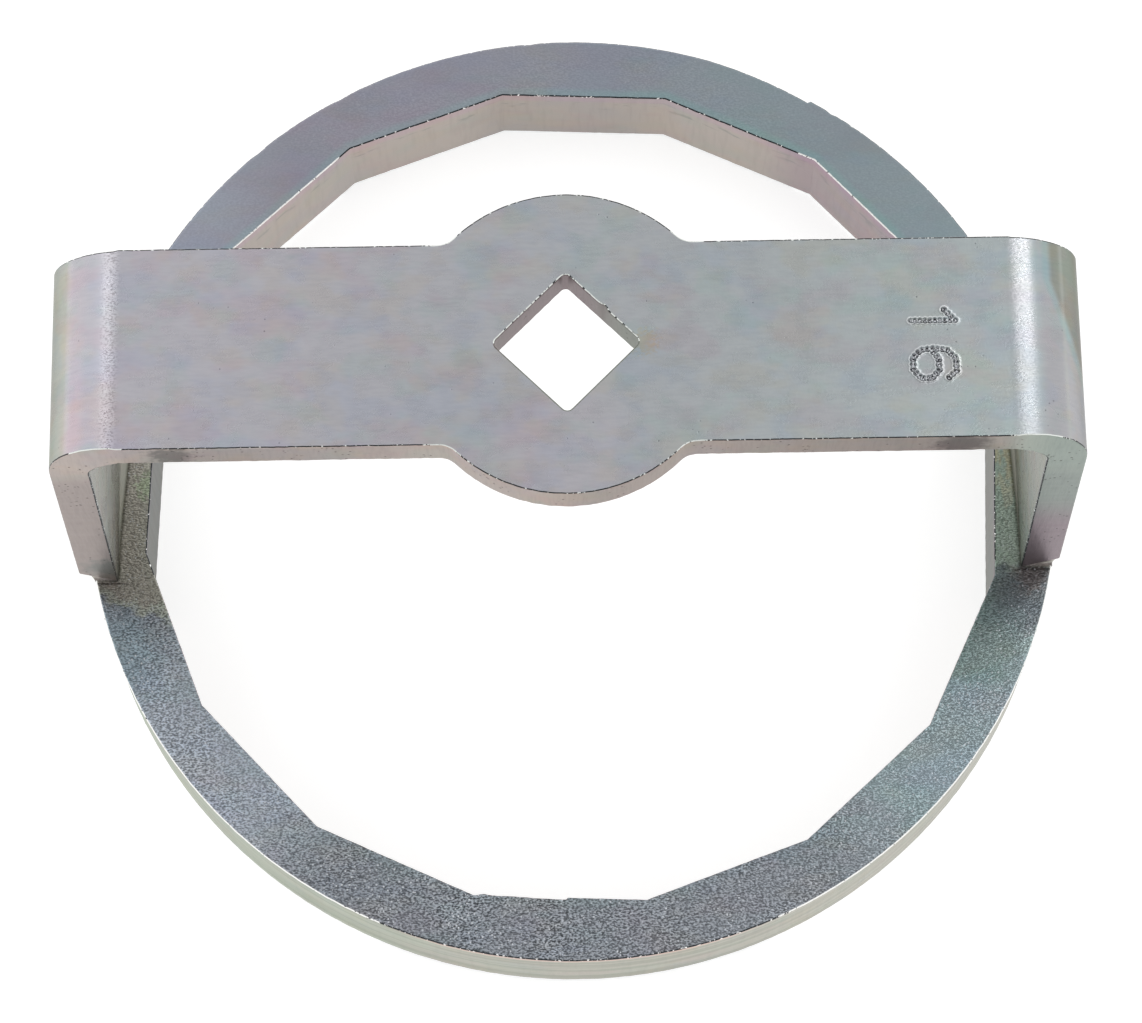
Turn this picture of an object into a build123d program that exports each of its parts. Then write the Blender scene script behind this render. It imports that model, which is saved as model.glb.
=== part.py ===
"""Oil filter cap wrench: a sixteen-sided ring cut from thick plate, with a bent strap welded across it.

The strap carries a square drive hole in the round boss at its middle. The ring lies on the ground. The origin is on the ring's axis at its underside, +X runs along the strap and +Z goes up.
Lengths are in millimetres, angles in degrees.
"""

import os
from math import cos, radians, sqrt, tan

from build123d import *

# The ring: its sixteen flats fit the flats of the filter cap
ACROSS_FLATS = 115.0
FLAT_COUNT = 16
RING_WALL = 8.5  # from a flat to the outside
RING_HEIGHT = 12.6
RING_TURN = -2.5  # how far the flats are turned from square with the strap
RIM_ROUND = 0.3  # the outer edges are slightly rounded

# The strap: cut flat with a round boss in its middle, then bent down at both ends
OVERALL_HEIGHT = 66.8
STRAP_THICKNESS = 5.0
STRAP_WIDTH = 26.4
LEG_LEAN = 1.95  # the legs spread by this angle on their way down
BEND_INNER_RADIUS = 4.0
BOSS_DIAMETER = 39.5
BOSS_ROOT_RADIUS = 3.0
DRIVE_SQUARE = 13.0
DRIVE_CORNER_RADIUS = 0.8
STRAP_OFFSET_X = -0.57  # the strap was welded on slightly off the ring's axis
STRAP_OFFSET_Y = 0.35
FOOT_BEVEL_HEIGHT = 3.7  # each foot is bevelled on its outside to make room for the weld

# The welds: one bead along the outside of each foot
WELD_BULGE = 0.7
WELD_END_BULGE = 0.28
WELD_TOE_DEPTH = 1.4  # how far the bead runs down the ring's outer wall
WELD_TOE_BITE = 0.2  # how far the bead's edge is sunk into that wall
WELD_END_GAP = 0.5  # the bead stops this far short of the strap's edges

ring_radius = ACROSS_FLATS / 2 + RING_WALL
half_width = STRAP_WIDTH / 2
bend_outer_radius = BEND_INNER_RADIUS + STRAP_THICKNESS
under_top = OVERALL_HEIGHT - STRAP_THICKNESS
bevel_top = RING_HEIGHT + FOOT_BEVEL_HEIGHT
lean = radians(LEG_LEAN)


def outer_x(z):
    """How far the leg's outer face is from the strap's middle at height z. The bevel's top edge is right over the rim."""
    return ring_radius - (z - bevel_top) * tan(lean)


def inner_x(z):
    """How far the leg's inner face is from the strap's middle at height z."""
    return outer_x(z) - STRAP_THICKNESS / cos(lean)


with BuildPart() as ring:
    with BuildSketch(Plane.XY):
        Circle(ring_radius)
        half_step = 180 / FLAT_COUNT
        RegularPolygon(
            ACROSS_FLATS / 2,
            FLAT_COUNT,
            major_radius=False,
            rotation=half_step + RING_TURN,
            mode=Mode.SUBTRACT,
        )
    extrude(amount=RING_HEIGHT)
    fillet(ring.edges().filter_by(GeomType.CIRCLE), RIM_ROUND)

ring.part.label = "ring"

# The strap's side view is drawn in the plane of its rear edge and extruded forward over its width
side_view = Plane(
    origin=(STRAP_OFFSET_X, STRAP_OFFSET_Y + half_width, 0),
    x_dir=(1, 0, 0),
    z_dir=(0, -1, 0),
)
strap_top = Plane((STRAP_OFFSET_X, STRAP_OFFSET_Y, OVERALL_HEIGHT))

with BuildPart() as bridge:
    with BuildSketch(side_view):
        with BuildLine():
            outside = FilletPolyline(
                (-outer_x(bevel_top), bevel_top),
                (-outer_x(OVERALL_HEIGHT), OVERALL_HEIGHT),
                (outer_x(OVERALL_HEIGHT), OVERALL_HEIGHT),
                (outer_x(bevel_top), bevel_top),
                radius=bend_outer_radius,
            )
            inside = FilletPolyline(
                (-inner_x(RING_HEIGHT), RING_HEIGHT),
                (-inner_x(under_top), under_top),
                (inner_x(under_top), under_top),
                (inner_x(RING_HEIGHT), RING_HEIGHT),
                radius=BEND_INNER_RADIUS,
            )
            Line(outside @ 0, inside @ 0)
            Line(outside @ 1, inside @ 1)
        make_face()
    extrude(amount=STRAP_WIDTH)
    # The boss, with the short stretch of strap that its root radii run into
    with BuildSketch(strap_top) as boss_outline:
        Circle(BOSS_DIAMETER / 2)
        Rectangle(BOSS_DIAMETER + 2 * BOSS_ROOT_RADIUS, STRAP_WIDTH)
        roots = boss_outline.vertices().sort_by(lambda v: abs(v.X))[:4]
        fillet(roots, BOSS_ROOT_RADIUS)
    extrude(amount=-STRAP_THICKNESS)
    with BuildSketch(strap_top) as drive_outline:
        Rectangle(DRIVE_SQUARE, DRIVE_SQUARE, rotation=45)
        fillet(drive_outline.vertices(), DRIVE_CORNER_RADIUS)
    extrude(amount=-STRAP_THICKNESS, mode=Mode.SUBTRACT)

bridge.part.label = "bridge"


def weld_section(y, side, bulge):
    """A cut through one bead at depth y: the groove under the bevelled foot, with a domed outer face down to the rim."""
    foot_corner = (STRAP_OFFSET_X + side * outer_x(bevel_top), bevel_top)
    root = (STRAP_OFFSET_X + side * inner_x(RING_HEIGHT), RING_HEIGHT)
    toe_height = RING_HEIGHT - WELD_TOE_DEPTH
    toe = (side * (sqrt(ring_radius**2 - y**2) - WELD_TOE_BITE), toe_height)
    crown = (side * bulge + (foot_corner[0] + toe[0]) / 2, (foot_corner[1] + toe[1]) / 2)
    with BuildSketch(Plane(origin=(0, y, 0), x_dir=(1, 0, 0), z_dir=(0, -1, 0))) as section:
        with BuildLine():
            ThreePointArc(foot_corner, crown, toe)
            Line(toe, (root[0], toe_height))
            Line((root[0], toe_height), root)
            Line(root, foot_corner)
        make_face()
    return section.sketch


# Where each bead's cuts lie along it, and how far the bead bulges there
bead_half_length = half_width - WELD_END_GAP
bead_cuts = (
    (-bead_half_length, WELD_END_BULGE),
    (-bead_half_length / 2, WELD_BULGE),
    (bead_half_length / 2, WELD_BULGE),
    (bead_half_length, WELD_END_BULGE),
)
welds = {}
for name, side in (("weld_left", -1), ("weld_right", 1)):
    sections = [weld_section(STRAP_OFFSET_Y + along, side, bulge) for along, bulge in bead_cuts]
    with BuildPart() as weld:
        loft(sections)
        add(ring.part, mode=Mode.SUBTRACT)
    weld.part.label = name
    welds[name] = weld.part

os.makedirs("parts", exist_ok=True)
export_step(ring.part, "parts/ring.step")
export_step(bridge.part, "parts/bridge.step")
export_step(welds["weld_left"], "parts/weld_left.step")
export_step(welds["weld_right"], "parts/weld_right.step")
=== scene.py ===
"""Oil filter cap wrench: the looks of a zinc-plated ring of thick plate with a bent, stamped strap welded across it.

+X runs along the strap, +Z goes up and the camera stands on the -Y side. Lengths are in millimetres and angles in
degrees. Each piece is modelled in millimetres and made metres when it is finished.
"""
from collections import namedtuple
from math import atan2, ceil, cos, degrees, exp, hypot, pi, radians, sin, sqrt, tan

import bmesh
import bpy
from mathutils import Matrix, Quaternion, Vector, noise


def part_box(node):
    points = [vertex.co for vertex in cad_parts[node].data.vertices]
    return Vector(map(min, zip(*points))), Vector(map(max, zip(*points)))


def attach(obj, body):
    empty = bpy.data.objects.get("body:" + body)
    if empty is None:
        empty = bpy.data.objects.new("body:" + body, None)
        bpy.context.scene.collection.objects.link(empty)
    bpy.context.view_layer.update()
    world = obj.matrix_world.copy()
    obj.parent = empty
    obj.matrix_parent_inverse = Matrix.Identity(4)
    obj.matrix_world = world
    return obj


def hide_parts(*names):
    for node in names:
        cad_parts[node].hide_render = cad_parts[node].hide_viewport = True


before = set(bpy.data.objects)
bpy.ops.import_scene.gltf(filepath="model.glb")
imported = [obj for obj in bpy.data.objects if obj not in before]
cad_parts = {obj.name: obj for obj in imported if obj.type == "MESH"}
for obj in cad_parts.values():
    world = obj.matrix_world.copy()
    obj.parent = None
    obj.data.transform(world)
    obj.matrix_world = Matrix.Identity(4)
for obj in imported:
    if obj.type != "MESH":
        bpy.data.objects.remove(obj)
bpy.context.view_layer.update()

MM = 0.001

# The camera, at the photograph's viewing angle
CAMERA_ELEVATION = 71.974
CAMERA_AZIMUTH = -0.281
CAMERA_ROLL = 0.642
CAMERA_DISTANCE = 546.75
CAMERA_TARGET = (-0.227, 0.12, 0.0)
CAMERA_LENS = 123.55


def node_box(name):
    """The lowest and highest corners of a CAD node, in millimetres."""
    low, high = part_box(name)
    return low / MM, high / MM


ring_low, ring_high = node_box("ring")
strap_low, strap_high = node_box("bridge")

# The ring
RING_RADIUS = ring_high.x
RING_HEIGHT = ring_high.z
ACROSS_FLATS = 115.0
FLAT_COUNT = 16
RING_TURN = -2.5  # how far the flats are turned from square with the strap
RIM_ROUND = 0.3
FLAT_EDGE_BREAK = 0.16
RIM_STEPS = 1440

# The strap: its middle is where the boss is round
STRAP_TOP = strap_high.z
STRAP_X = (strap_low.x + strap_high.x) / 2
STRAP_Y = (strap_low.y + strap_high.y) / 2
BOSS_RADIUS = (strap_high.y - strap_low.y) / 2
STRAP_THICKNESS = 5.0
STRAP_HALF_WIDTH = 13.2
BOSS_ROOT_RADIUS = 3.0
BEND_INNER_RADIUS = 4.0
LEG_LEAN = 1.95
FOOT_BEVEL_HEIGHT = 3.7
DRIVE_SQUARE = 13.0
DRIVE_CORNER_RADIUS = 0.8
EDGE_BREAK = 0.2  # the strap's cut edges
HOLE_REACH = 10.0  # everything nearer than this to the middle belongs to the hole's edge
HOLE_NOTCH_DEPTH = 0.28  # a nick in the hole's rear right wall
HOLE_NOTCH_PLACE = 0.12
HOLE_NOTCH_HALF_WIDTH = 0.5
EDGE_STEP = 0.45  # how finely edges are divided

# The stamped number: the count of the ring's flats. The digits' tops point along +X
STAMP_BASE = 42.6  # from the strap's middle to the digits' feet
STAMP_SCALE = 0.92
STAMP_FIRST_LEFT = 3.5  # where each digit begins, across the strap
STAMP_SECOND_LEFT = -1.5
STAMP_STROKE = 0.36  # half the width of a stroke
STAMP_DEPTH = 0.4
STAMP_RIM = 0.04  # metal pushed up beside a stroke
STAMP_PUNCH_PITCH = 0.62
STAMP_CUTS = 80
STAMP_MARGIN = 1.2

bend_outer_radius = BEND_INNER_RADIUS + STRAP_THICKNESS
bevel_top = RING_HEIGHT + FOOT_BEVEL_HEIGHT
lean = radians(LEG_LEAN)
bend_turn = pi / 2 - lean
bend_centre_z = STRAP_TOP - bend_outer_radius
flat_half = RING_RADIUS - bend_outer_radius / cos(lean) - (bend_centre_z - bevel_top) * tan(lean)
neutral_radius = BEND_INNER_RADIUS + STRAP_THICKNESS / 2
bend_length = neutral_radius * bend_turn
leg_outer = (bend_centre_z + bend_outer_radius * sin(lean) - bevel_top) / cos(lean)
leg_inner = (bend_centre_z + BEND_INNER_RADIUS * sin(lean) - RING_HEIGHT) / cos(lean)

# Which finish a face has
PLATE, CUT, TORN = range(3)
SHARP_ANGLE = 12.0
WELD_SHARP_ANGLE = 50.0


def finished(bm, name, finishes, node, sharp_angle=SHARP_ANGLE):
    """Makes the mesh an object in metres that stands for one CAD node. Faces that meet at less than the sharp angle look smooth."""
    bmesh.ops.scale(bm, vec=(MM, MM, MM), verts=bm.verts)
    bm.normal_update()
    for edge in bm.edges:
        kinds = {f.material_index for f in edge.link_faces}
        edge.smooth = len(kinds) == 1 and edge.calc_face_angle(0) < radians(sharp_angle)
    for face in bm.faces:
        face.smooth = True
    mesh = bpy.data.meshes.new(name)
    bm.to_mesh(mesh)
    bm.free()
    for finish in finishes:
        mesh.materials.append(finish)
    piece = bpy.data.objects.new(name, mesh)
    bpy.context.scene.collection.objects.link(piece)
    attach(piece, "root")
    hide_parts(node)
    return piece


def wobble(x, y, z, seed, size):
    """Smooth noise from about -1 to 1 that changes over the given length."""
    return noise.noise(Vector((x / size + seed, y / size, z / size)))


# The ring

Dent = namedtuple("Dent", "angle half_width depth")
RIM_DENTS = (Dent(131, 0.8, 0.12), Dent(119, 0.8, 0.12), Dent(94.5, 0.8, 0.12), Dent(55.5, 0.5, 0.15))
RIM_FLAT = (58.5, 72.0, 0.39)  # the cut ran gradually inside the circle, then stepped back out
HOLLOW_FLAT = (-99.0, -91.6, 0.26)
RAISED_CORNER = Dent(-102.5, 0.7, -0.22)
CLEAN_FLATS_Y = -12.0  # the flats nearer than this have no burr


def dent_depth(dent, angle):
    """How deep one dent is at an angle about the ring's axis."""
    return dent.depth * exp(-(((angle - dent.angle) / dent.half_width) ** 2))


def rim_depth(angle):
    """How far the rim lies inside its circle at an angle about the ring's axis."""
    low, high, deepest = RIM_FLAT
    depth = deepest * (high - angle) / (high - low) if low < angle < high else 0.0
    depth += sum(dent_depth(dent, angle) for dent in RIM_DENTS)
    return depth + 0.03 * wobble(angle, 0, 0, 3, 1.1)


def flat_depth(angle):
    """How far a flat is cut back into the ring."""
    low, high, deepest = HOLLOW_FLAT
    share = (angle - low) / (high - low)
    hollow = deepest * sin(pi * share / 2) if 0 < share < 1 else 0.0
    return hollow + dent_depth(RAISED_CORNER, angle) + 0.025 * wobble(angle, 0, 0, 8, 0.9)


def loop_edges(verts):
    """The edges that join the given vertices."""
    among = set(verts)
    return [e for e in {e for v in verts for e in v.link_edges} if all(v in among for v in e.verts)]


def ring_plate(finishes):
    bm = bmesh.new()
    corner_radius = ACROSS_FLATS / 2 / cos(pi / FLAT_COUNT)
    turn = Matrix.Rotation(radians(180 / FLAT_COUNT + RING_TURN), 4, "Z")
    rim = bmesh.ops.create_circle(bm, segments=RIM_STEPS, radius=RING_RADIUS)["verts"]
    corners = bmesh.ops.create_circle(bm, segments=FLAT_COUNT, radius=corner_radius, matrix=turn)["verts"]
    bmesh.ops.subdivide_edges(bm, edges=loop_edges(corners), cuts=RIM_STEPS // FLAT_COUNT - 1)
    bmesh.ops.bridge_loops(bm, edges=bm.edges[:])
    top = bmesh.ops.extrude_face_region(bm, geom=bm.faces[:], use_keep_orig=True)["geom"]
    raised = [v for v in top if isinstance(v, bmesh.types.BMVert)]
    bmesh.ops.translate(bm, vec=(0, 0, RING_HEIGHT), verts=raised)
    bmesh.ops.recalc_face_normals(bm, faces=bm.faces[:])
    middle = (corner_radius + RING_RADIUS) / 2
    level = [e for e in bm.edges if abs(e.calc_face_angle(0)) > 1 and abs(e.verts[0].co.z - e.verts[1].co.z) < 1e-6]
    for outside, size, steps in ((True, RIM_ROUND, 3), (False, FLAT_EDGE_BREAK, 2)):
        edges = [e for e in level if e.is_valid and (hypot(*e.verts[0].co.xy) > middle) == outside]
        made = bmesh.ops.bevel(
            bm, geom=edges, offset=size, offset_type="OFFSET", segments=steps, profile=0.5, affect="EDGES", material=-1
        )
        for face in made["faces"]:
            face.material_index = TORN
    for vert in bm.verts:
        x, y, z = vert.co
        radius, angle = hypot(x, y), degrees(atan2(y, x))
        if radius > middle:
            reach = 1 - (rim_depth(angle) + 0.025 * wobble(x, y, z, 1, 1.6)) / radius
        else:
            reach = 1 + (flat_depth(angle) + 0.03 * wobble(x, y, z, 2, 1.3)) / radius
        vert.co.x *= reach
        vert.co.y *= reach
    bm.normal_update()
    for face in bm.faces:
        centre, flatness = face.calc_center_median(), abs(face.normal.z)
        burred = 0.2 < flatness < 0.9 if hypot(*centre.xy) > middle else centre.y > CLEAN_FLATS_Y
        if face.material_index != TORN or not burred:
            face.material_index = PLATE if flatness > 0.9 else CUT
    return finished(bm, "ring_plate", finishes, "ring")


# The strap

def arc_on(bm, tip, centre, turn, radius):
    """Draws an arc on from the vertex tip and gives its last vertex. A positive turn is anticlockwise."""
    steps = max(4, ceil(abs(turn) * radius / EDGE_STEP))
    made = bmesh.ops.spin(bm, geom=[tip], cent=centre, axis=(0, 0, 1), angle=turn, steps=steps)
    return [v for v in made["geom_last"] if isinstance(v, bmesh.types.BMVert)][0]


def line_on(bm, tip, x, y, step=EDGE_STEP):
    """Draws a straight line on from the vertex tip and gives its last vertex."""
    start, end = tip.co.copy(), Vector((x, y, tip.co.z))
    steps = ceil((end - start).length / step)
    for i in range(1, steps + 1):
        tip = bmesh.ops.extrude_vert_indiv(bm, verts=[tip])["verts"][0]
        tip.co = start.lerp(end, i / steps)
    return tip


def boss_quarter(bm):
    """A quarter of the boss with its root and its share of the drive hole, drawn as one flat face at the top."""
    root_y = STRAP_HALF_WIDTH + BOSS_ROOT_RADIUS
    root_x = sqrt((BOSS_RADIUS + BOSS_ROOT_RADIUS) ** 2 - root_y**2)
    root_angle = atan2(root_y, root_x)
    hole_corner = DRIVE_SQUARE / sqrt(2)
    corner_centre = hole_corner - DRIVE_CORNER_RADIUS * sqrt(2)
    start = bm.verts.new((0, BOSS_RADIUS, 0))
    tip = arc_on(bm, start, (0, 0, 0), root_angle - pi / 2, BOSS_RADIUS)
    tip = arc_on(bm, tip, (root_x, root_y, 0), pi / 2 - root_angle, BOSS_ROOT_RADIUS)
    tip = line_on(bm, tip, root_x, 0, step=BOSS_RADIUS)
    tip = line_on(bm, tip, corner_centre + DRIVE_CORNER_RADIUS, 0, step=BOSS_RADIUS)
    tip = arc_on(bm, tip, (corner_centre, 0, 0), pi / 4, DRIVE_CORNER_RADIUS)
    reach = DRIVE_CORNER_RADIUS / sqrt(2)
    tip = line_on(bm, tip, reach, corner_centre + reach)
    tip = arc_on(bm, tip, (0, corner_centre, 0), pi / 4, DRIVE_CORNER_RADIUS)
    bm.edges.new((tip, start))
    bmesh.ops.contextual_create(bm, geom=bm.edges[:])
    return root_x


def lengthwise(bm, low, high):
    """The edges that run along the strap between two places."""
    return [
        e
        for e in bm.edges
        if abs(e.verts[0].co.x - e.verts[1].co.x) > 0.9 * (high - low)
        and all(low - 1e-3 < v.co.x < high + 1e-3 for v in e.verts)
    ]


def pull_arm(bm, side, start, end, steps):
    """Draws the strap's end face out along its length, from start to end, in equal steps."""
    faces = [f for f in bm.faces if abs(f.calc_center_median().x - side * start) < 1e-3 and abs(f.normal.x) > 0.9]
    made = bmesh.ops.extrude_face_region(bm, geom=faces)["geom"]
    bmesh.ops.delete(bm, geom=faces, context="FACES")
    moved = [v for v in made if isinstance(v, bmesh.types.BMVert)]
    bmesh.ops.translate(bm, vec=(side * (end - start), 0, 0), verts=moved)
    low, high = sorted((side * start, side * end))
    if steps > 1:
        bmesh.ops.subdivide_edges(bm, edges=lengthwise(bm, low, high), cuts=steps - 1)
    bm.normal_update()


def strokes():
    """The digits' strokes as lines across the strap's top: each digit is drawn upright, then turned on its side."""
    one = [[(0.0, 4.5), (1.5, 5.9), (1.5, 0.0)]]
    six = [[(4.2, 4.8), (3.3, 5.8), (1.5, 5.8), (0.3, 4.6), (0.05, 2.8), (0.3, 1.1), (1.4, 0.05), (3.1, 0.05),
            (4.3, 1.1), (4.3, 2.5), (3.2, 3.5), (1.5, 3.5), (0.3, 2.6)]]
    drawn = []
    for digit, left in ((one, STAMP_FIRST_LEFT), (six, STAMP_SECOND_LEFT)):
        for line in digit:
            drawn.append([Vector((STAMP_BASE + STAMP_SCALE * up, left - STAMP_SCALE * across, 0)) for across, up in line])
    return drawn


def stamp_height(place, lines):
    """How far the stamp moves the surface at a place: a punched groove with a rim of raised metal beside it."""
    nearest, along = 1e9, 0.0
    for line in lines:
        run = 0.0
        for a, b in zip(line, line[1:]):
            length = (b - a).length
            share = max(0.0, min(1.0, (place - a).dot(b - a) / length**2))
            distance = (a + (b - a) * share - place).length
            if distance < nearest:
                nearest, along = distance, run + share * length
            run += length
    ragged = 0.05 * wobble(place.x, place.y, 0, 4, 0.35)
    width = STAMP_STROKE + ragged + 0.05 * cos(2 * pi * along / STAMP_PUNCH_PITCH)
    punch = 0.72 + 0.28 * cos(2 * pi * along / STAMP_PUNCH_PITCH)
    if nearest < width:
        return -STAMP_DEPTH * punch * (1 - (nearest / width) ** 2)
    return STAMP_RIM * exp(-(((nearest - width - 0.08) / 0.11) ** 2))


def stamp_patch(bm, lines):
    """Divides a patch of the strap's top finely and stamps the number into it."""
    xs = [p.x for line in lines for p in line]
    ys = [p.y for line in lines for p in line]
    low_y, high_y = min(ys) - STAMP_MARGIN, max(ys) + STAMP_MARGIN
    middle_x = (min(xs) + max(xs)) / 2

    def on_top():
        return [f for f in bm.faces if f.normal.z > 0.99 and abs(f.calc_center_median().x - middle_x) < 1e-3]

    for y in (low_y, high_y):
        faces = on_top()
        geom = faces + list({e for f in faces for e in f.edges}) + list({v for f in faces for v in f.verts})
        bmesh.ops.bisect_plane(bm, geom=geom, dist=1e-5, plane_co=(0, y, 0), plane_no=(0, 1, 0))
    patches = [f for f in on_top() if low_y < f.calc_center_median().y < high_y]
    bmesh.ops.subdivide_edges(bm, edges=list({e for f in patches for e in f.edges}), cuts=STAMP_CUTS, use_grid_fill=True)
    for vert in bm.verts:
        inside = min(xs) - STAMP_MARGIN < vert.co.x < max(xs) + STAMP_MARGIN and low_y < vert.co.y < high_y
        if inside and abs(vert.co.z) < 1e-6:
            vert.co.z += stamp_height(Vector((vert.co.x, vert.co.y, 0)), lines)


def bent(place):
    """Where a point of the flat strap lies once both ends are bent down. Heights in the flat strap go from -5 to 0."""
    side = 1 if place.x > 0 else -1
    along = abs(place.x) - flat_half
    if along <= 0:
        return Vector((place.x, place.y, STRAP_TOP + place.z))
    radius = bend_outer_radius + place.z
    turn = min(along / neutral_radius, bend_turn)
    beyond = max(0.0, along - bend_length)
    x = flat_half + radius * sin(turn) + beyond * cos(turn)
    z = bend_centre_z + radius * cos(turn) - beyond * sin(turn)
    # A bend draws the outer surface in at its edges and squeezes the inner one out
    strain = sin(pi * min(1.0, (along + 1.5) / (bend_length + 3.0))) if along < bend_length + 1.5 else 0.0
    spread = 0.32 * strain * (-place.z / STRAP_THICKNESS * 1.6 - 0.9)
    near_edge = max(0.0, abs(place.y) / STRAP_HALF_WIDTH - 0.6) / 0.4
    y = place.y + (spread * near_edge**2 if place.y > 0 else -spread * near_edge**2)
    return Vector((side * x, y, z))


def strap_plate(finishes):
    bm = bmesh.new()
    root_x = boss_quarter(bm)
    for axis in "XY":
        bmesh.ops.mirror(bm, geom=bm.verts[:] + bm.edges[:] + bm.faces[:], merge_dist=1e-4, axis=axis)
    under = bmesh.ops.extrude_face_region(bm, geom=bm.faces[:], use_keep_orig=True)["geom"]
    lowered = [v for v in under if isinstance(v, bmesh.types.BMVert)]
    bmesh.ops.translate(bm, vec=(0, 0, -STRAP_THICKNESS), verts=lowered)
    bmesh.ops.recalc_face_normals(bm, faces=bm.faces[:])
    corners = [
        e
        for e in bm.edges
        if abs(e.calc_face_angle(0)) > 1
        and abs(e.verts[0].co.z - e.verts[1].co.z) < 1e-6
        and not all(abs(abs(v.co.x) - root_x) < 1e-4 for v in e.verts)
    ]
    bmesh.ops.bevel(
        bm, geom=corners, offset=EDGE_BREAK, offset_type="OFFSET", segments=2, profile=0.5, affect="EDGES", material=-1
    )
    bm.normal_update()
    lines = strokes()
    xs = [p.x for line in lines for p in line]
    stamp_low, stamp_high = min(xs) - STAMP_MARGIN, max(xs) + STAMP_MARGIN
    bend_end = flat_half + bend_length
    stages = {
        -1: [root_x, flat_half, bend_end, bend_end + leg_outer - 0.3],
        1: [root_x, stamp_low, stamp_high, flat_half, bend_end, bend_end + leg_outer - 0.3],
    }
    for side, stops in stages.items():
        for start, end in zip(stops, stops[1:]):
            steps = 1 if start == stamp_low else ceil((end - start) / EDGE_STEP)
            pull_arm(bm, side, start, end, steps)
        pull_arm(bm, side, stops[-1], stops[-1] + 0.3, 1)
        for vert in bm.verts:
            if side * vert.co.x > stops[-1] + 0.2:
                vert.co.x += side * (leg_inner - leg_outer) * -vert.co.z / STRAP_THICKNESS
    stamp_patch(bm, lines)
    bm.normal_update()
    for face in bm.faces:
        flatness, centre = abs(face.normal.z), face.calc_center_median()
        clean = 0.6 if centre.z > -STRAP_THICKNESS / 2 else 0.1
        face.material_index = PLATE if flatness > 0.93 or abs(face.normal.x) > 0.93 else CUT if flatness < clean else TORN
        if face.material_index == TORN and abs(centre.x) < HOLE_REACH and -HOLE_REACH < centre.y < 0:
            face.material_index = CUT
        if stamp_low < centre.x < stamp_high and abs(centre.y) < STRAP_HALF_WIDTH - 1:
            face.material_index = PLATE
        if abs(centre.x) < root_x and face.material_index == PLATE and abs(face.normal.z) < 0.5:
            face.material_index = CUT
    for vert in bm.verts:
        ragged = TORN in {f.material_index for f in vert.link_faces}
        x, y, z = vert.co
        if ragged:
            vert.co.y += 0.05 * wobble(x, y, z, 5, 0.8)
        if max(abs(x), abs(y)) < HOLE_REACH and x + y > DRIVE_SQUARE / sqrt(2) - 0.1 and z > -EDGE_STEP:
            notch = HOLE_NOTCH_DEPTH * exp(-(((x - y) / sqrt(2) - HOLE_NOTCH_PLACE) / HOLE_NOTCH_HALF_WIDTH) ** 2)
            vert.co += Vector((notch, notch, 0)) / sqrt(2)
        vert.co = bent(vert.co)
    bmesh.ops.translate(bm, vec=(STRAP_X, STRAP_Y, 0), verts=bm.verts)
    bmesh.ops.recalc_face_normals(bm, faces=bm.faces[:])
    return finished(bm, "bent_strap", finishes, "bridge")


# The welds

RIPPLE_PITCH = 1.25
RIPPLE_SAG = 0.12  # the ripples are crescents: they bend back towards the bead's upper and lower edges
WELD_MIDDLE_Z = 13.8
WELD_END_REACH = 0.38  # the bead's ends ran nearly to the strap's edges


def weld_bead(node, name, side, finishes):
    """One bead: the CAD bead divided finely, with the ripples that the weld pool froze into."""
    bm = bmesh.new()
    bm.from_mesh(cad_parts[node].data)
    bmesh.ops.scale(bm, vec=(1 / MM, 1 / MM, 1 / MM), verts=bm.verts)
    bmesh.ops.remove_doubles(bm, verts=bm.verts, dist=0.002)
    bmesh.ops.dissolve_limit(bm, angle_limit=radians(2), verts=bm.verts, edges=bm.edges)
    low, high = node_box(node)
    for axis, step in ((1, 0.2), (2, 0.35)):
        count = ceil((high[axis] - low[axis]) / step)
        for i in range(1, count):
            place, direction = Vector(), Vector()
            place[axis] = low[axis] + (high[axis] - low[axis]) * i / count
            direction[axis] = 1
            geom = bm.verts[:] + bm.edges[:] + bm.faces[:]
            bmesh.ops.bisect_plane(bm, geom=geom, dist=1e-5, plane_co=place, plane_no=direction)
    bm.normal_update()
    shifts = {}
    for vert in bm.verts:
        outward = vert.normal.x * side
        if outward > 0.3:
            x, y, z = vert.co
            phase = y + RIPPLE_SAG * (z - WELD_MIDDLE_Z) ** 2
            ripple = 0.28 * abs(sin(pi * phase / RIPPLE_PITCH)) - 0.2
            end = min(1.0, (abs(y - low.y)) / 1.2, (abs(high.y - y)) / 1.2)
            lump = 0.18 * wobble(x, y, z, 7, 2.2)
            shifts[vert] = vert.normal * ((ripple + lump) * outward * end - 0.25 * (1 - end))
    for vert, shift in shifts.items():
        vert.co += shift
    for vert in bm.verts:
        if abs(vert.co.y - low.y) < 1e-3:
            vert.co.y -= WELD_END_REACH
        elif abs(vert.co.y - high.y) < 1e-3:
            vert.co.y += WELD_END_REACH
    return finished(bm, name, finishes, node, WELD_SHARP_ANGLE)


# Finishes

def srgb(red, green, blue):
    """A colour given as it looks on a screen, from 0 to 255, as linear light."""
    return tuple((c / 255 / 12.92 if c <= 10 else ((c / 255 + 0.055) / 1.055) ** 2.4) for c in (red, green, blue)) + (1.0,)


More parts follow.
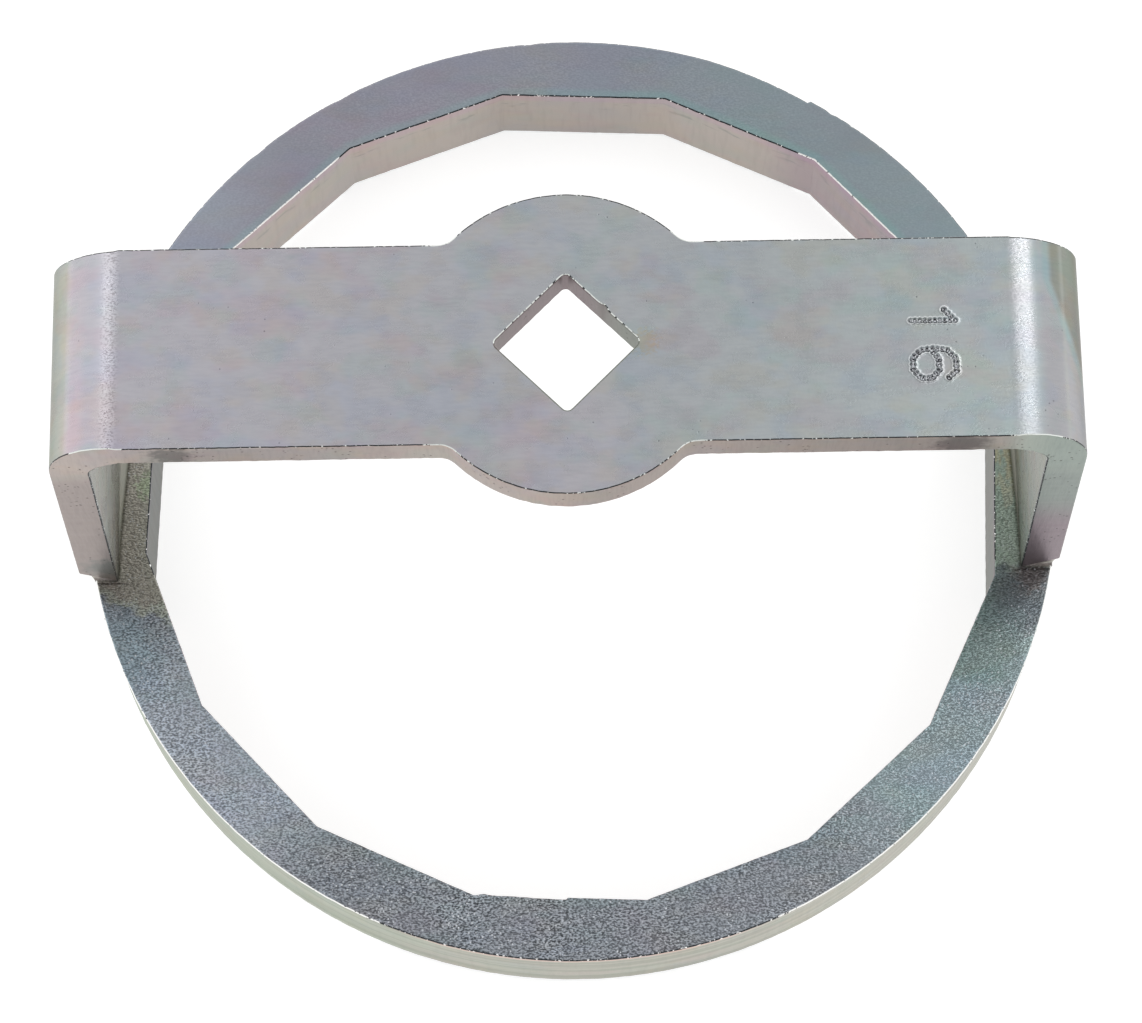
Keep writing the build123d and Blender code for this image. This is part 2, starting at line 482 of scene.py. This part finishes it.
class Finish:
    """A procedural metal finish that reads object coordinates in millimetres."""

    def __init__(self, name, roughness, metallic=1.0):
        self.material = bpy.data.materials.new(name)
        self.material.use_nodes = True
        self.tree = self.material.node_tree
        self.shader = self.tree.nodes["Principled BSDF"]
        self.shader.inputs["Metallic"].default_value = metallic
        self.shader.inputs["Roughness"].default_value = roughness
        place = self.node("ShaderNodeTexCoord").outputs["Object"]
        self.place = self.vector("SCALE", place, scale=1 / MM)
        self.x, self.y, self.z = self.node("ShaderNodeSeparateXYZ", Vector=self.place).outputs[:3]

    def node(self, kind, settings=None, **inputs):
        made = self.tree.nodes.new(kind)
        for key, value in (settings or {}).items():
            setattr(made, key, value)
        for key, value in inputs.items():
            self.feed(made.inputs[key], value)
        return made

    def feed(self, socket, value):
        if isinstance(value, bpy.types.NodeSocket):
            self.tree.links.new(value, socket)
        else:
            socket.default_value = value

    def vector(self, operation, a, b=None, scale=None):
        made = self.node("ShaderNodeVectorMath", {"operation": operation})
        self.feed(made.inputs[0], a)
        if b is not None:
            self.feed(made.inputs[1], b)
        if scale is not None:
            self.feed(made.inputs["Scale"], scale)
        return made.outputs[0]

    def math(self, operation, *values):
        made = self.node("ShaderNodeMath", {"operation": operation})
        for socket, value in zip(made.inputs, values):
            self.feed(socket, value)
        return made.outputs[0]

    def noise(self, size, detail=2.0, stretch=(1, 1, 1), offset=0.0, rough=0.5):
        """Noise from 0 to 1 whose lumps are about size millimetres, longer where stretch is above 1."""
        scaled = self.vector("MULTIPLY", self.place, tuple(1 / (size * s) for s in stretch))
        moved = self.vector("ADD", scaled, (offset, offset * 1.7, offset * 2.3))
        made = self.node("ShaderNodeTexNoise", Vector=moved, Scale=1.0, Detail=detail, Roughness=rough)
        return made.outputs["Fac"]

    def specks(self, size, offset=0.0):
        """The distance from scattered points, in shares of their spacing."""
        scaled = self.vector("SCALE", self.place, scale=1 / size)
        moved = self.vector("ADD", scaled, (offset, offset, offset))
        return self.node("ShaderNodeTexVoronoi", Vector=moved, Scale=1.0).outputs["Distance"]

    def between(self, value, low, high, start=0.0, end=1.0):
        """Goes smoothly from start to end while the value goes from low to high."""
        made = self.node("ShaderNodeMapRange", {"interpolation_type": "SMOOTHSTEP", "clamp": True})
        for key, number in (("Value", value), ("From Min", low), ("From Max", high), ("To Min", start), ("To Max", end)):
            self.feed(made.inputs[key], number)
        return made.outputs["Result"]

    def band(self, value, low, high, fade):
        """1 while the value lies between low and high and 0 outside, with soft ends."""
        return self.times(
            self.between(value, low - fade, low + fade), self.between(value, high - fade, high + fade, 1.0, 0.0)
        )

    def times(self, *values):
        product = values[0]
        for value in values[1:]:
            product = self.math("MULTIPLY", product, value)
        return product

    def near(self, place, radius, fade=1.0):
        """1 within a ball about a place and 0 past its radius, with an uneven edge."""
        apart = self.node("ShaderNodeVectorMath", {"operation": "DISTANCE"})
        self.feed(apart.inputs[0], self.place)
        apart.inputs[1].default_value = place
        ragged = self.math("ADD", apart.outputs["Value"], self.between(self.noise(radius * 0.35), 0.2, 0.8, -1, 1))
        return self.between(ragged, radius - fade, radius + fade, 1.0, 0.0)

    def from_axis(self):
        """How far a point is from the ring's axis."""
        return self.math("SQRT", self.math("ADD", self.times(self.x, self.x), self.times(self.y, self.y)))

    def from_flats(self):
        """How far a point of the ring lies outside the nearest of its flats."""
        angle = self.math("SUBTRACT", self.math("ARCTAN2", self.y, self.x), radians(RING_TURN))
        folded = self.math("WRAP", angle, pi / FLAT_COUNT, -pi / FLAT_COUNT)
        return self.math("SUBTRACT", self.times(self.from_axis(), self.math("COSINE", folded)), ACROSS_FLATS / 2)

    def from_middle(self):
        """How far a point of the strap is from its middle, along the strap."""
        return self.math("ABSOLUTE", self.math("SUBTRACT", self.x, STRAP_X))

    def inside_strap(self):
        """1 on the strap's faces and edges that are under it or between its legs, and 0 on its outer ones."""
        half_leg = STRAP_THICKNESS / 2
        leg_middle = self.math("MULTIPLY_ADD", self.z, -tan(lean), RING_RADIUS + bevel_top * tan(lean) - half_leg)
        between_legs = self.between(self.math("SUBTRACT", leg_middle, self.from_middle()), -0.3, 0.3)
        return self.times(between_legs, self.between(self.z, STRAP_TOP - 3.0, STRAP_TOP - 2.0, 1.0, 0.0))

    def mix(self, factor, a, b, blend="MIX"):
        made = self.node("ShaderNodeMix", {"data_type": "RGBA", "blend_type": blend})
        self.feed(made.inputs[0], factor)
        self.feed(made.inputs[6], a)
        self.feed(made.inputs[7], b)
        return made.outputs[2]

    def tint(self, factor, colour, ratio):
        """The colour with its red, green and blue multiplied by the ratio, as far as the factor says."""
        return self.mix(factor, colour, ratio + (1.0,) if isinstance(ratio, tuple) else ratio, "MULTIPLY")

    def bump(self, height, distance, strength=1.0, normal=None):
        made = self.node("ShaderNodeBump", Height=height, Distance=distance * MM, Strength=strength)
        if normal is not None:
            self.feed(made.inputs["Normal"], normal)
        return made.outputs["Normal"]

    def done(self, colour, normal, roughness=None):
        self.feed(self.shader.inputs["Base Color"], colour)
        self.feed(self.shader.inputs["Normal"], normal)
        if roughness is not None:
            self.feed(self.shader.inputs["Roughness"], roughness)
        return self.material


# The tints of a passivated zinc coat, as shares of red, green and blue, with the size of their clouds
ROSE, SAGE, HAZE, BUFF = (1.0, 0.88, 0.92), (0.88, 1.0, 0.95), (0.88, 0.94, 1.04), (1.03, 0.97, 0.87)
CLOUDS = ((ROSE, 5.0, 11.0), (SAGE, 4.5, 23.0), (HAZE, 5.5, 37.0), (BUFF, 4.0, 53.0))


def plated(finish, colour, strength, stretch=(2.2, 1, 1)):
    """The faint rose, green, blue and buff clouds of a passivated zinc coat."""
    for ratio, size, offset in CLOUDS:
        cloud = finish.between(finish.noise(size, 3.0, stretch, offset), 0.5, 0.64, 0.0, strength)
        colour = finish.tint(cloud, colour, ratio)
    return colour


def strap_face_finish():
    f = Finish("strap_rolled_face", 0.28)
    f.shader.inputs["Specular Tint"].default_value = (0.6, 0.6, 0.58, 1.0)
    out = f.from_middle()
    colour = f.mix(f.between(f.x, -60, 60), srgb(194, 192, 199), srgb(173, 181, 182))
    colour = plated(f, colour, 0.5, (1.5, 1, 1))
    grain = f.noise(0.4, 3.0, (5, 1, 5), 5.0)
    inside = f.inside_strap()
    outside = f.math("SUBTRACT", 1.0, inside)
    grainy = f.times(f.between(grain, 0.35, 0.7, 0.0, 0.4), f.between(inside, 0, 1, 1.0, 0.2))
    colour = f.tint(grainy, colour, (0.85, 0.86, 0.88))
    pits = f.between(f.specks(1.1, 3.0), 0.06, 0.14, 1.0, 0.0)
    pits = f.times(pits, f.between(f.noise(3.5, 1.0, (1.6, 1, 1), 7.0), 0.59, 0.66))
    colour = f.tint(pits, colour, (0.5, 0.5, 0.52))
    colour = f.tint(f.near((9.1, 0.2, STRAP_TOP), 1.3, 0.8), colour, (1.05, 0.93, 0.78))
    colour = f.tint(f.near((0.0, -14.0, STRAP_TOP), 8.0, 4.0), colour, (1.07, 1.01, 1.03))

    # The metal is stretched and roughened along the start of each bend; near-white painted glints there stand for its
    # highlight, stronger towards the rear
    right = f.between(f.x, -5, 5)
    inner_end = f.math("MULTIPLY_ADD", right, -0.4, 55.6)
    outer_end = f.math("MULTIPLY_ADD", right, 0.6, 57.3)
    stretched = f.times(f.between(f.math("SUBTRACT", out, inner_end), -0.7, 0.7), outside)
    stretched = f.times(stretched, f.between(f.math("SUBTRACT", out, outer_end), -0.7, 0.7, 1.0, 0.0))
    crackle = f.noise(0.17, 2.0, (1.8, 1, 1), 9.0)
    gaps = f.mix(right, (0.55, 0.52, 0.53, 1), (0.92, 0.91, 0.93, 1))
    colour = f.tint(f.times(stretched, f.between(crackle, 0.5, 0.66)), colour, gaps)
    bright = f.times(f.between(f.y, -12, 10, 0.45, 1.0), f.between(right, 0, 1, 0.48, 0.52))
    glints = f.times(stretched, f.between(crackle, 0.36, 0.6, 1.0, 0.5), bright)
    colour = f.mix(glints, colour, srgb(240, 237, 243))

    # Beyond that the bends are rosy, then green, and the right one has an olive patch at its rear
    bend = f.times(f.between(f.z, 46, 57), outside)
    rosy = f.times(f.between(f.y, -4, 9, 1.0, 0.35), bend)
    rosy_left = f.times(rosy, f.band(out, 59.8, 62.6, 0.8))
    colour = f.tint(rosy_left, colour, f.mix(right, (1.12, 1.02, 1.0, 1), (1.0, 1.0, 1.0, 1)))
    rosy_right = f.times(rosy, f.between(out, 58.0, 59.5))
    colour = f.tint(rosy_right, colour, f.mix(right, (1.0, 1.0, 1.0, 1), (1.0, 0.9, 0.93, 1)))
    forward = f.math("MAXIMUM", f.math("SUBTRACT", 8.0, f.y), 0.0)
    patch_from = f.math("MULTIPLY_ADD", right, f.math("MULTIPLY_ADD", forward, 0.38, -1.7), 61.9)
    patch = f.math("SUBTRACT", out, patch_from)
    fringe = f.times(f.band(patch, -0.9, 0.0, 0.4), bend, right)
    colour = f.tint(fringe, colour, (0.86, 1.0, 0.98))
    patch = f.times(f.between(patch, -0.4, 0.5), bend)
    colour = f.tint(patch, colour, f.mix(right, (0.84, 0.9, 0.76, 1), (0.7, 0.69, 0.6, 1)))

    # The stamped strokes are dark with bright flecks: painted shade and painted highlight set by which way their walls
    # face, between rims with a painted highlight
    stamped = f.times(f.band(f.x, STAMP_BASE - 3, STAMP_BASE + 8, 0.5), outside)
    groove = f.times(stamped, f.between(f.z, STRAP_TOP - 0.3, STRAP_TOP - 0.04, 1.0, 0.0))
    walls = f.node("ShaderNodeTexCoord").outputs["Normal"]
    walls = f.node("ShaderNodeSeparateXYZ", Vector=walls).outputs["Y"]
    flecks = f.math("MULTIPLY_ADD", walls, 0.2, f.noise(0.2, 1.0, offset=15.0))
    flecks = f.between(flecks, 0.36, 0.5)
    colour = f.mix(groove, colour, f.mix(flecks, srgb(66, 66, 70), srgb(228, 230, 234)))
    rim = f.times(stamped, f.between(f.z, STRAP_TOP + 0.015, STRAP_TOP + 0.035))
    colour = f.mix(f.times(rim, 0.52), colour, srgb(242, 244, 246))

    # The faces under the strap and inside the legs are tinted yellower, and lighter on the right
    colour = f.tint(inside, colour, f.mix(right, (1.0, 1.02, 0.9, 1), (1.12, 1.05, 0.96, 1)))

    # The welds' heat left a brown and a blue band across the outside of each foot
    height_up = f.math("ADD", f.z, f.between(f.noise(4.0, 2.0, offset=12.0), 0.2, 0.8, -1.5, 1.5))
    colour = f.tint(f.times(f.between(height_up, 19, 22, 1.0, 0.0), outside), colour, (0.8, 0.76, 0.72))
    colour = f.tint(f.times(f.band(height_up, 22, 26, 1.5), outside), colour, (0.8, 0.86, 0.94))

    height = f.math("SUBTRACT", f.times(grain, outside, 0.25), pits)
    normal = f.bump(height, 0.03, 0.5)
    normal = f.bump(f.noise(0.35, 2.0), 0.012, 0.6, normal)
    normal = f.bump(f.times(crackle, stretched), 0.03, 1.0, normal)
    return f.done(colour, normal, f.between(f.noise(3.0, 3.0, offset=2.0), 0.3, 0.7, 0.26, 0.3))


def strap_edge_finish():
    f = Finish("strap_cut_edge", 0.42)
    right = f.between(f.x, -5, 5)
    outer_tone = f.mix(right, srgb(174, 163, 157), srgb(157, 146, 140))
    boss_tone = f.mix(right, srgb(182, 171, 165), srgb(165, 153, 147))
    colour = f.mix(f.between(f.from_middle(), 16, 24), boss_tone, outer_tone)
    colour = plated(f, colour, 0.45, (1.5, 1, 1))
    leg = f.between(f.z, 52, 60, 1.0, 0.0)
    low = f.between(f.z, 30, 44, 1.0, 0.0)
    right_leg = f.mix(low, srgb(135, 143, 138), srgb(138, 125, 131))
    colour = f.mix(leg, colour, f.mix(right, srgb(154, 143, 139), right_leg))
    right_bend = f.times(right, f.between(f.from_middle(), 52, 57), f.between(f.z, 50, 56))
    bend_tone = f.mix(f.between(f.from_middle(), 55, 61), srgb(158, 165, 156), srgb(142, 152, 145))
    colour = f.mix(right_bend, colour, bend_tone)

    # The drive hole's walls: rosy, and green low on the right
    hole = f.between(f.from_middle(), 11, 12.5, 1.0, 0.0)
    hole = f.times(hole, f.between(f.math("ABSOLUTE", f.y), 11, 12.5, 1.0, 0.0))
    green = f.between(f.math("MULTIPLY_ADD", f.x, 0.4, f.math("MULTIPLY", f.y, -1.0)), -7, 1)
    colour = f.mix(hole, colour, f.mix(green, srgb(128, 114, 116), srgb(128, 132, 124)))

    # Grey smudges beside the bends, heat tints at the feet, painted shade low on the left leg's inner edge, a dark
    # wedge of painted shade up the right leg's inner edge, and pits
    for place, radius, ratio in EDGE_SMUDGES_AND_SHADE:
        colour = f.tint(f.near(place, radius, radius * 0.45), colour, ratio)
    inner_edge = f.math("MULTIPLY_ADD", f.z, -tan(lean), RING_RADIUS + bevel_top * tan(lean) - STRAP_THICKNESS)
    shaded_wedge_width = f.between(f.z, SHADED_WEDGE_TOP - 22, SHADED_WEDGE_TOP, 2.9, -0.4)
    shaded_wedge = f.math("SUBTRACT", f.math("SUBTRACT", f.from_middle(), inner_edge), shaded_wedge_width)
    shaded_wedge = f.times(right, f.between(shaded_wedge, -0.35, 0.35, 1.0, 0.0), f.between(f.y, -12, -10, 1.0, 0.0))
    shaded_wedge = f.times(shaded_wedge, f.between(f.z, SHADED_WEDGE_TOP, SHADED_WEDGE_TOP + 2, 1.0, 0.0))
    colour = f.tint(shaded_wedge, colour, (0.8, 0.78, 0.78))
    marks = f.noise(0.35, 2.0, (1, 1, 9), 19.0)
    colour = f.tint(f.between(marks, 0.4, 0.75, 0.0, 0.4), colour, (0.78, 0.78, 0.8))
    pitted = f.near((-58.2, -13.0, 47.0), 5.0, 1.5)
    pitted = f.math("MAXIMUM", pitted, f.between(f.noise(4, 1.0, offset=4.0), 0.55, 0.61))
    pits = f.times(f.between(f.specks(0.8, 8.0), 0.14, 0.24, 1.0, 0.0), pitted)
    colour = f.tint(pits, colour, (0.35, 0.32, 0.33))
    normal = f.bump(f.math("SUBTRACT", marks, pits), 0.04, 0.6)
    return f.done(colour, normal)


EDGE_SMUDGES_AND_SHADE = (
    ((-49.5, -13.0, 64.5), 2.6, (0.5, 0.52, 0.52)),
    ((47.7, -13.0, 64.5), 3.0, (0.48, 0.46, 0.47)),
    ((-61.8, -13.0, 18.5), 3.6, (0.66, 0.76, 0.76)),
    # the last smudge, low on the left leg's inner edge, is painted shade
    ((-60.5, -13.0, 14.0), 2.4, (0.8, 0.82, 0.82)),
)
SHADED_WEDGE_TOP = 37.0  # how high the dark wedge reaches


def torn_highlight_finish(name, light, dark, bright_part):
    """A burred edge: dark with flecks of painted highlight, and mostly painted highlight in the part of the edge where
    bright_part is 1.
    """
    f = Finish(name, 0.3)
    flecks = f.noise(0.4, 2.0, offset=4.0)
    limit = f.between(bright_part(f), 0.0, 1.0, 0.62, 0.33)
    colour = f.mix(f.between(f.math("SUBTRACT", flecks, limit), -0.02, 0.03), dark, light)
    return f.done(colour, f.bump(f.noise(0.3, 2.0), 0.06, 1.0))


def strap_burr_highlight_part(f):
    """Where the strap's burr carries painted highlights: over the bends' front edges, and partly at the boss's roots
    and round the hole.
    """
    roots = f.times(f.band(f.from_middle(), 13.0, 17.5, 1.5), 0.8)
    hole = f.times(f.between(f.from_middle(), 9.5, 10, 1.0, 0.0), f.band(f.y, -9, 10, 0.3), 0.6)
    bends = f.times(f.band(f.from_middle(), 54.7, 61.3, 1.2), f.between(f.y, -2, 2, 1.0, 0.0))
    bright = f.math("MAXIMUM", bends, f.math("MAXIMUM", roots, hole))
    return f.times(bright, f.between(f.inside_strap(), 0.3, 0.7, 1.0, 0.0))


def ring_burr_highlight_part(f):
    """Where the ring's burr carries painted highlights: on both sides of its near half, and along the outer ones of
    the far flats.
    """
    rim = f.between(f.from_axis(), 61.5, 63)
    aside = f.between(f.math("ABSOLUTE", f.x), 23, 31)
    near = f.times(rim, aside, f.between(f.y, -12, -5, 1.0, 0.0))
    flats = f.times(f.math("SUBTRACT", 1.0, rim), f.between(f.math("ABSOLUTE", f.x), 31.5, 33), f.between(f.y, 12, 16))
    return f.math("MAXIMUM", near, flats)


# Tones of the ring's upper face: colour, place, radius, fade and strength
RING_TONES = (
    (srgb(174, 182, 193), (-50, -37), 17, 8, 0.9),
    (srgb(152, 167, 172), (49, -36), 17, 8, 0.9),
    (srgb(142, 160, 170), (-62, -23), 6, 3, 0.8),
    (srgb(120, 128, 130), (59.5, -17), 7, 3, 0.85),
    (srgb(134, 151, 149), (54.5, -23.5), 6, 2.5, 0.8),
    (srgb(168, 188, 188), (62.8, -24.5), 2.6, 1.5, 0.8),
)


def ring_face_finish():
    f = Finish("ring_plate_face", 0.3)
    from_flats = f.from_flats()
    far = f.between(f.y, 0, 26)
    colour = srgb(141, 146, 153)
    for tone, (x, y), radius, fade, strength in RING_TONES:
        colour = f.mix(f.times(f.near((x, y, RING_HEIGHT), radius, fade), strength), colour, tone)
    far_colour = f.mix(f.between(f.x, -35, 45), srgb(156, 154, 166), srgb(142, 154, 160))
    far_colour = f.mix(f.between(f.x, -52, -38, 1.0, 0.0), far_colour, srgb(162, 168, 180))
    colour = plated(f, f.mix(far, colour, far_colour), 0.35)

    # Heat from the welds turned the plate beside them brown, with a green fringe
    left, right = f.between(f.x, -40, -30, 1.0, 0.0), f.between(f.x, 30, 40)
    wave = f.math("ADD", f.y, f.between(f.noise(2.5, 3.0), 0.2, 0.8, -1.5, 1.5))
    slanted = f.math("MULTIPLY_ADD", f.x, 0.31, f.math("ADD", wave, 18.1))
    colour = f.mix(f.times(left, f.band(slanted, -17.2, -15.2, 0.6), 0.7), colour, srgb(172, 176, 161))
    brown = f.times(left, f.band(slanted, -15.9, 30, 0.9), f.between(f.y, 15, 19, 1.0, 0.0))
    colour = f.mix(brown, colour, srgb(168, 164, 156))
    olive = f.times(right, f.band(wave, -12.5, 17, 1.2))
    strip = f.mix(f.between(wave, -8, 4), srgb(180, 192, 184), srgb(196, 192, 168))
    strip = f.mix(f.between(f.noise(1.1, 2.0, (1, 2.5, 1), 21.0), 0.45, 0.6), strip, srgb(176, 190, 180))
    colour = f.mix(olive, colour, strip)
    greenish = f.times(left, f.near((-57.7, 0.5, RING_HEIGHT), 1.7, 0.8))
    colour = f.tint(greenish, colour, (0.92, 1.08, 0.9))
    colour = f.mix(f.times(f.near((62.0, -14.0, RING_HEIGHT), 2.2, 1.0), 0.6), colour, srgb(136, 128, 124))
    # Painted shade: a short dark line in the crease at the front inner corner of each foot
    crease_shade = f.times(f.between(f.from_middle(), 59.5, 60.5), f.band(f.y, -13.4, -13.1, 0.12))
    colour = f.tint(f.times(crease_shade, f.between(f.noise(0.6, offset=8.0), 0.4, 0.5)), colour, (0.4, 0.38, 0.38))
    foot_inner = RING_RADIUS + FOOT_BEVEL_HEIGHT * tan(lean) - STRAP_THICKNESS / cos(lean)
    backward = f.between(f.y, -13, 13, 0.0, 1.0)
    from_foot = f.math("ADD", f.math("SUBTRACT", f.from_middle(), foot_inner), f.times(backward, f.math("MULTIPLY_ADD", left, 0.6, 0.9)))
    beside_foot = f.band(f.y, -12.8, 13.4, 0.3)
    smooth = f.times(f.between(from_foot, -0.1, 0.2), beside_foot)
    colour = f.mix(smooth, colour, srgb(192, 191, 182))
    # Painted shade: a dark line where the legs' inner faces meet the ring
    colour = f.tint(f.times(f.band(from_foot, -0.25, 0.2, 0.25), beside_foot), colour, (0.4, 0.4, 0.38))
    fringe = f.times(f.band(from_flats, -1, 1.1, 0.5), f.between(far, 0, 1, 0.2, 1.0))
    colour = f.tint(fringe, colour, (0.94, 1.1, 1.04))

    # The scale left an orange peel that is bold on the near side and nearly gone on the far side; its relief is also
    # painted into the colour as light and shade, with painted glints
    bold = f.times(f.between(f.y, -4, 30, 1.0, 0.1), f.between(f.noise(12, 1.0, offset=3.0), 0.38, 0.62, 0.75, 1.15))
    bold = f.times(bold, f.between(f.math("ABSOLUTE", f.x), 12, 40, 1.6, 1.15), f.between(f.x, 25, 50, 1.0, 0.75))
    bold = f.times(bold, f.math("MULTIPLY_ADD", f.math("MAXIMUM", brown, olive), -0.25, 1.0))
    bold = f.times(bold, f.math("SUBTRACT", 1.0, smooth))
    grains = f.between(f.noise(0.21, 1.0, (1.7, 1, 1), 6.0), 0.34, 0.68)
    grit = f.noise(0.5, 2.0, (1.4, 1, 1), 2.0, 0.6)
    peel = f.math("ADD", f.times(grains, 0.8), f.times(grit, 0.5))
    shade = f.math("MULTIPLY_ADD", f.math("SUBTRACT", peel, 0.64), bold, 1.0)
    colour = f.vector("SCALE", colour, scale=shade)
    glint_dots = f.between(f.specks(0.62, 5.0), 0.13, 0.27, 1.0, 0.0)
    glint_dots = f.times(glint_dots, bold, f.between(f.noise(5, 1.0, offset=17.0), 0.4, 0.6, 0.35, 0.75))
    colour = f.mix(glint_dots, colour, srgb(210, 214, 220))
    normal = f.bump(f.times(peel, bold), 0.03, 1.0)
    return f.done(colour, normal)


def ring_wall_finish():
    f = Finish("ring_cut_wall", 0.42)
    outside = f.between(f.from_axis(), 61.5, 62.5)
    inner = f.mix(f.between(f.z, 10.4, 11.4), srgb(174, 165, 158), srgb(178, 161, 163))
    stains = f.between(f.noise(1.5, 3.0, (2.2, 2.2, 0.6), 31.0), 0.56, 0.68)
    inner = f.tint(f.times(stains, f.band(f.z, 8.6, 10.8, 0.7), 0.8), inner, (0.7, 0.78, 0.78))
    inner = f.tint(f.band(f.x, -12, 12, 5.0), inner, (0.9, 0.9, 0.9))
    rear_right = f.times(f.between(f.x, 27, 34), f.between(f.y, 14, 20))
    inner = f.tint(rear_right, inner, (0.86, 0.8, 0.9))
    # Painted shade on the inner walls beneath the strap's legs
    shade_beside_legs = f.mix(f.between(f.x, -5, 5), (0.26, 0.3, 0.29, 1), (0.37, 0.42, 0.41, 1))
    inner = f.tint(f.band(f.y, -15, 15, 2.0), inner, shade_beside_legs)
    layers = f.noise(0.8, 3.0, (60, 60, 1), 3.0)
    outer = f.mix(f.between(layers, 0.4, 0.6), srgb(158, 159, 146), srgb(178, 176, 165))
    peach = f.times(f.between(f.z, 11.5, 12.0), f.between(f.math("ABSOLUTE", f.x), 18, 27, 1.0, 0.0))
    peach = f.times(peach, f.between(f.y, -10, 0, 1.0, 0.0))
    outer = f.mix(peach, outer, srgb(216, 190, 178))
    colour = plated(f, f.mix(outside, inner, outer), 0.35)
    marks = f.noise(0.7, 2.0, (1, 1, 9), 14.0)
    colour = f.tint(f.between(marks, 0.45, 0.75, 0.0, 0.3), colour, (0.8, 0.8, 0.8))
    near_left = f.times(outside, f.between(f.x, -35, -10, 1.0, 0.0), f.between(f.y, -25, -5, 1.0, 0.0))
    colour = f.tint(near_left, colour, (0.9, 1.0, 0.93))
    heat = f.times(outside, f.between(f.math("ABSOLUTE", f.y), 11, 17, 1.0, 0.0), f.between(f.z, 6.5, 10.0))
    colour = f.tint(heat, colour, (0.8, 0.77, 0.74))
    return f.done(colour, f.bump(marks, 0.03, 0.5))


def weld_finish():
    f = Finish("weld_metal", 0.34)
    sag = f.math("SUBTRACT", f.z, WELD_MIDDLE_Z)
    phase = f.math("MULTIPLY_ADD", f.times(sag, sag), RIPPLE_SAG, f.y)
    ripple = f.math("ABSOLUTE", f.math("SINE", f.times(phase, pi / RIPPLE_PITCH)))
    crest = f.mix(f.noise(1.2, 3.0), srgb(150, 146, 140), srgb(192, 191, 188))
    # The ripples' valleys get painted shade; the crests keep the metal's tone
    colour = f.mix(f.between(ripple, 0.0, 0.6), srgb(98, 94, 92), crest)
    front_end = f.between(f.y, -12.6, -12.2, 1.0, 0.0)
    colour = f.mix(front_end, colour, f.mix(f.noise(0.6, 2.0), srgb(108, 103, 101), srgb(136, 129, 127)))
    return f.done(plated(f, colour, 0.5), f.bump(f.noise(0.4, 3.0), 0.08, 0.8))


# The studio

def floor_finish():
    f = Finish("pale_floor", 0.8, 0.0)
    tone = f.mix(f.noise(90, 2.0), srgb(194, 194, 194), srgb(198, 198, 198))
    f.shader.inputs["Specular IOR Level"].default_value = 0.0
    f.shader.inputs["Emission Color"].default_value = (1.0, 1.0, 1.0, 1.0)
    f.shader.inputs["Emission Strength"].default_value = FLOOR_GLOW
    return f.done(tone, f.bump(f.noise(2.0), 0.02, 0.2))


def studio():
    bm = bmesh.new()
    bmesh.ops.create_circle(bm, cap_ends=True, segments=64, radius=4.0)
    mesh = bpy.data.meshes.new("floor")
    bm.to_mesh(mesh)
    bm.free()
    floor = bpy.data.objects.new("floor", mesh)
    floor.location.z = -0.0002
    mesh.materials.append(floor_finish())
    bpy.context.scene.collection.objects.link(floor)

    world = bpy.data.worlds.new("studio")
    bpy.context.scene.world = world
    world.use_nodes = True
    tree = world.node_tree
    up = tree.nodes.new("ShaderNodeSeparateXYZ")
    tree.links.new(tree.nodes.new("ShaderNodeTexCoord").outputs["Generated"], up.inputs[0])
    fade = tree.nodes.new("ShaderNodeMapRange")
    fade.interpolation_type = "SMOOTHSTEP"
    fade.inputs["From Min"].default_value = 0.8
    fade.inputs["From Max"].default_value = 1.0
    fade.inputs["To Min"].default_value = WORLD_SIDES
    fade.inputs["To Max"].default_value = WORLD_OVERHEAD
    tree.links.new(up.outputs["Z"], fade.inputs["Value"])
    background = tree.nodes["Background"]
    background.inputs["Color"].default_value = (1, 1, 1, 1)
    tree.links.new(fade.outputs["Result"], background.inputs["Strength"])

    for name, tilt, size, power in SOFTBOXES:
        lamp = bpy.data.lights.new(name, "AREA")
        lamp.shape = "RECTANGLE"
        lamp.size, lamp.size_y = size
        lamp.energy = power
        box = bpy.data.objects.new(name, lamp)
        aim = Vector(tilt).normalized()
        box.location = aim * SOFTBOX_DISTANCE
        box.rotation_mode = "QUATERNION"
        box.rotation_quaternion = aim.to_track_quat("Z", "Y")
        bpy.context.scene.collection.objects.link(box)


WORLD_SIDES = 1.0  # a light tent, darker overhead where it is open
WORLD_OVERHEAD = 0.45
FLOOR_GLOW = 0.68
SOFTBOX_DISTANCE = 1.4
SOFTBOXES = (
    ("left_softbox", (-0.34, 0.3, 0.9), (0.16, 0.9), 0.35),
    ("right_softbox", (0.34, 0.3, 0.9), (0.16, 0.9), 1.1),
)


def camera():
    data = bpy.data.cameras.new("camera")
    data.lens = CAMERA_LENS
    data.sensor_width = 36
    data.clip_start, data.clip_end = 0.01, 20
    rig = bpy.data.objects.new("camera", data)
    up, around = radians(CAMERA_ELEVATION), radians(CAMERA_AZIMUTH)
    back = Vector((sin(around) * cos(up), -cos(around) * cos(up), sin(up)))
    rig.location = (Vector(CAMERA_TARGET) + back * CAMERA_DISTANCE) * MM
    rig.rotation_mode = "QUATERNION"
    rig.rotation_quaternion = (-back).to_track_quat("-Z", "Y") @ Quaternion((0, 0, 1), -radians(CAMERA_ROLL))
    bpy.context.scene.collection.objects.link(rig)
    bpy.context.scene.camera = rig


# The burrs' light flecks and lines are painted highlights
ring_burr_highlights = torn_highlight_finish("ring_torn_edge_highlights", srgb(246, 246, 244), srgb(50, 53, 56), ring_burr_highlight_part)
strap_burr_highlights = torn_highlight_finish("strap_torn_edge_highlights", srgb(232, 236, 232), srgb(52, 54, 56), strap_burr_highlight_part)
ring_plate([ring_face_finish(), ring_wall_finish(), ring_burr_highlights])
strap_plate([strap_face_finish(), strap_edge_finish(), strap_burr_highlights])
weld_metal = weld_finish()
weld_bead("weld_left", "left_weld_bead", -1, [weld_metal])
weld_bead("weld_right", "right_weld_bead", 1, [weld_metal])
studio()
camera()
bpy.context.scene.view_settings.view_transform = "Standard"
